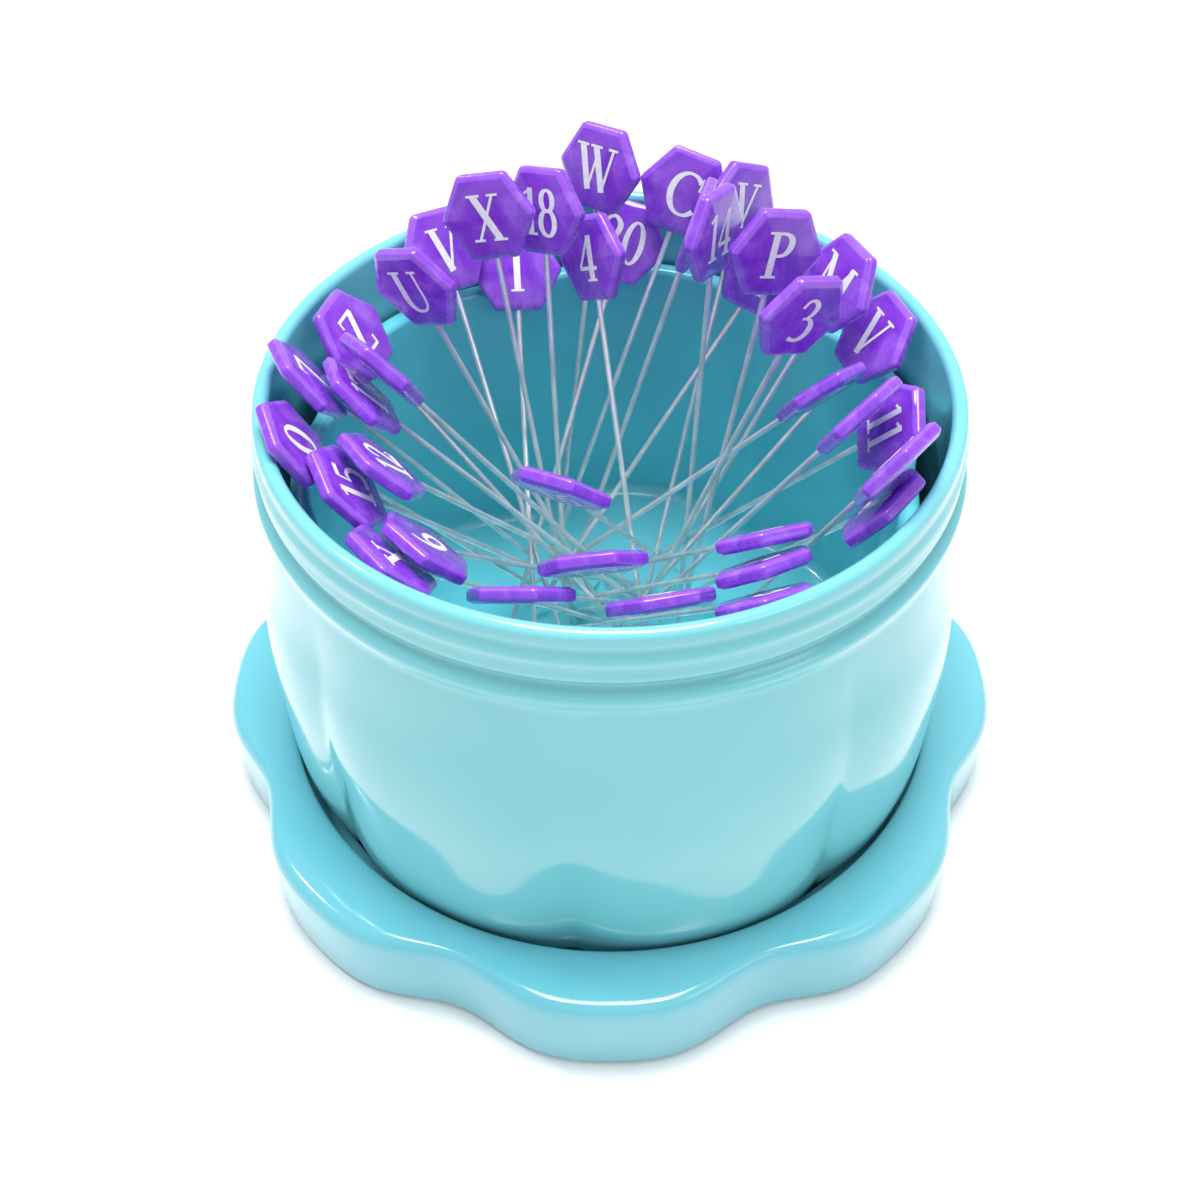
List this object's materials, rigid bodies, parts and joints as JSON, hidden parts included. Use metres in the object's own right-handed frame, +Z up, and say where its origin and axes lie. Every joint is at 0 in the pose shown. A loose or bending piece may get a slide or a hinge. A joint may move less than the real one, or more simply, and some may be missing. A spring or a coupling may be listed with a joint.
{
  "type": "magnetic pin bowl",
  "caption": "Fluted round pin bowl standing in a scalloped saucer lid; marked hexagon-head pins lean in its lobed well over a hidden magnet.",
  "frame": {"origin": "centre of the saucer's flat underside", "axes": "+Z up out of the bowl, -Y to the front of the pictured view, +X to its right"},
  "size_m": [0.089, 0.089, 0.0662],
  "materials": {
    "saucer_plastic": "gloss",
    "cup_plastic": "gloss",
    "liner_plastic": "gloss",
    "cover_plastic": "satin",
    "magnet": "dull",
    "pin_steel": "bright",
    "pin_head_plastic": "gloss"
  },
  "bodies": {
    "saucer": {"saucer_lid": "saucer_plastic"},
    "cup": {"cup_shell": "cup_plastic", "well_liner": "liner_plastic", "magnet_disc": "magnet", "base_cover": "cover_plastic", "packed_shafts": "pin_steel", "packed_heads": "pin_head_plastic"},
    "pin_01": {"pin_shaft_01": "pin_steel", "pin_head_01": "pin_head_plastic"},
    "pin_02": {"pin_shaft_02": "pin_steel", "pin_head_02": "pin_head_plastic"},
    "pin_03": {"pin_shaft_03": "pin_steel", "pin_head_03": "pin_head_plastic"},
    "pin_04": {"pin_shaft_04": "pin_steel", "pin_head_04": "pin_head_plastic"},
    "pin_05": {"pin_shaft_05": "pin_steel", "pin_head_05": "pin_head_plastic"},
    "pin_06": {"pin_shaft_06": "pin_steel", "pin_head_06": "pin_head_plastic"},
    "pin_07": {"pin_shaft_07": "pin_steel", "pin_head_07": "pin_head_plastic"},
    "pin_08": {"pin_shaft_08": "pin_steel", "pin_head_08": "pin_head_plastic"},
    "pin_09": {"pin_shaft_09": "pin_steel", "pin_head_09": "pin_head_plastic"},
    "pin_10": {"pin_shaft_10": "pin_steel", "pin_head_10": "pin_head_plastic"},
    "pin_11": {"pin_shaft_11": "pin_steel", "pin_head_11": "pin_head_plastic"},
    "pin_12": {"pin_shaft_12": "pin_steel", "pin_head_12": "pin_head_plastic"},
    "pin_13": {"pin_shaft_13": "pin_steel", "pin_head_13": "pin_head_plastic"},
    "pin_14": {"pin_shaft_14": "pin_steel", "pin_head_14": "pin_head_plastic"},
    "pin_15": {"pin_shaft_15": "pin_steel", "pin_head_15": "pin_head_plastic"},
    "pin_16": {"pin_shaft_16": "pin_steel", "pin_head_16": "pin_head_plastic"},
    "pin_17": {"pin_shaft_17": "pin_steel", "pin_head_17": "pin_head_plastic"},
    "pin_18": {"pin_shaft_18": "pin_steel", "pin_head_18": "pin_head_plastic"},
    "pin_19": {"pin_shaft_19": "pin_steel", "pin_head_19": "pin_head_plastic"},
    "pin_20": {"pin_shaft_20": "pin_steel", "pin_head_20": "pin_head_plastic"},
    "pin_21": {"pin_shaft_21": "pin_steel", "pin_head_21": "pin_head_plastic"},
    "pin_22": {"pin_shaft_22": "pin_steel", "pin_head_22": "pin_head_plastic"},
    "pin_23": {"pin_shaft_23": "pin_steel", "pin_head_23": "pin_head_plastic"},
    "pin_24": {"pin_shaft_24": "pin_steel", "pin_head_24": "pin_head_plastic"},
    "pin_25": {"pin_shaft_25": "pin_steel", "pin_head_25": "pin_head_plastic"},
    "pin_26": {"pin_shaft_26": "pin_steel", "pin_head_26": "pin_head_plastic"}
  },
  "joints": [
    {"name": "cup_lift", "type": "slide", "parent": "saucer", "child": "cup", "axis": [0, 0, 1], "range_m": [0, 0.06]},
    {"name": "pin_01_pull", "type": "slide", "parent": "cup", "child": "pin_01", "axis": [0.3486, 0.0336, 0.9367], "range_m": [0, 0.06]},
    {"name": "pin_02_pull", "type": "slide", "parent": "cup", "child": "pin_02", "axis": [0.629, -0.1863, 0.7547], "range_m": [0, 0.06]},
    {"name": "pin_03_pull", "type": "slide", "parent": "cup", "child": "pin_03", "axis": [0.5937, 0.1872, 0.7826], "range_m": [0, 0.06]},
    {"name": "pin_04_pull", "type": "slide", "parent": "cup", "child": "pin_04", "axis": [0.4368, 0.1721, 0.8829], "range_m": [0, 0.06]},
    {"name": "pin_05_pull", "type": "slide", "parent": "cup", "child": "pin_05", "axis": [0.1769, 0.165, 0.9703], "range_m": [0, 0.06]},
    {"name": "pin_06_pull", "type": "slide", "parent": "cup", "child": "pin_06", "axis": [0.2095, 0.394, 0.8949], "range_m": [0, 0.06]},
    {"name": "pin_07_pull", "type": "slide", "parent": "cup", "child": "pin_07", "axis": [0.0455, 0.1587, 0.9863], "range_m": [0, 0.06]},
    {"name": "pin_08_pull", "type": "slide", "parent": "cup", "child": "pin_08", "axis": [0.2838, 0.5692, 0.7716], "range_m": [0, 0.06]},
    {"name": "pin_09_pull", "type": "slide", "parent": "cup", "child": "pin_09", "axis": [0.1166, 0.2681, 0.9563], "range_m": [0, 0.06]},
    {"name": "pin_10_pull", "type": "slide", "parent": "cup", "child": "pin_10", "axis": [-0.1372, 0.5119, 0.848], "range_m": [0, 0.06]},
    {"name": "pin_11_pull", "type": "slide", "parent": "cup", "child": "pin_11", "axis": [-0.0369, 0.3235, 0.9455], "range_m": [0, 0.06]},
    {"name": "pin_12_pull", "type": "slide", "parent": "cup", "child": "pin_12", "axis": [-0.161, 0.2734, 0.9483], "range_m": [0, 0.06]},
    {"name": "pin_13_pull", "type": "slide", "parent": "cup", "child": "pin_13", "axis": [-0.2759, 0.519, 0.809], "range_m": [0, 0.06]},
    {"name": "pin_14_pull", "type": "slide", "parent": "cup", "child": "pin_14", "axis": [-0.3809, 0.0367, 0.9239], "range_m": [0, 0.06]},
    {"name": "pin_15_pull", "type": "slide", "parent": "cup", "child": "pin_15", "axis": [-0.6034, 0.1787, 0.7771], "range_m": [0, 0.06]},
    {"name": "pin_16_pull", "type": "slide", "parent": "cup", "child": "pin_16", "axis": [-0.5401, -0.1447, 0.829], "range_m": [0, 0.06]},
    {"name": "pin_17_pull", "type": "slide", "parent": "cup", "child": "pin_17", "axis": [-0.6198, -0.1093, 0.7771], "range_m": [0, 0.06]},
    {"name": "pin_18_pull", "type": "slide", "parent": "cup", "child": "pin_18", "axis": [-0.4938, -0.4218, 0.7604], "range_m": [0, 0.06]},
    {"name": "pin_19_pull", "type": "slide", "parent": "cup", "child": "pin_19", "axis": [-0.3182, -0.6245, 0.7133], "range_m": [0, 0.06]},
    {"name": "pin_20_pull", "type": "slide", "parent": "cup", "child": "pin_20", "axis": [-0.268, -0.5619, 0.7826], "range_m": [0, 0.06]},
    {"name": "pin_21_pull", "type": "slide", "parent": "cup", "child": "pin_21", "axis": [-0.1104, -0.66, 0.7431], "range_m": [0, 0.06]},
    {"name": "pin_22_pull", "type": "slide", "parent": "cup", "child": "pin_22", "axis": [0.1724, -0.6664, 0.7254], "range_m": [0, 0.06]},
    {"name": "pin_23_pull", "type": "slide", "parent": "cup", "child": "pin_23", "axis": [0.3799, -0.5964, 0.7071], "range_m": [0, 0.06]},
    {"name": "pin_24_pull", "type": "slide", "parent": "cup", "child": "pin_24", "axis": [0.3127, -0.6273, 0.7133], "range_m": [0, 0.06]},
    {"name": "pin_25_pull", "type": "slide", "parent": "cup", "child": "pin_25", "axis": [0.2826, -0.5547, 0.7826], "range_m": [0, 0.06]},
    {"name": "pin_26_pull", "type": "slide", "parent": "cup", "child": "pin_26", "axis": [0.521, -0.3648, 0.7716], "range_m": [0, 0.06]}
  ]
}
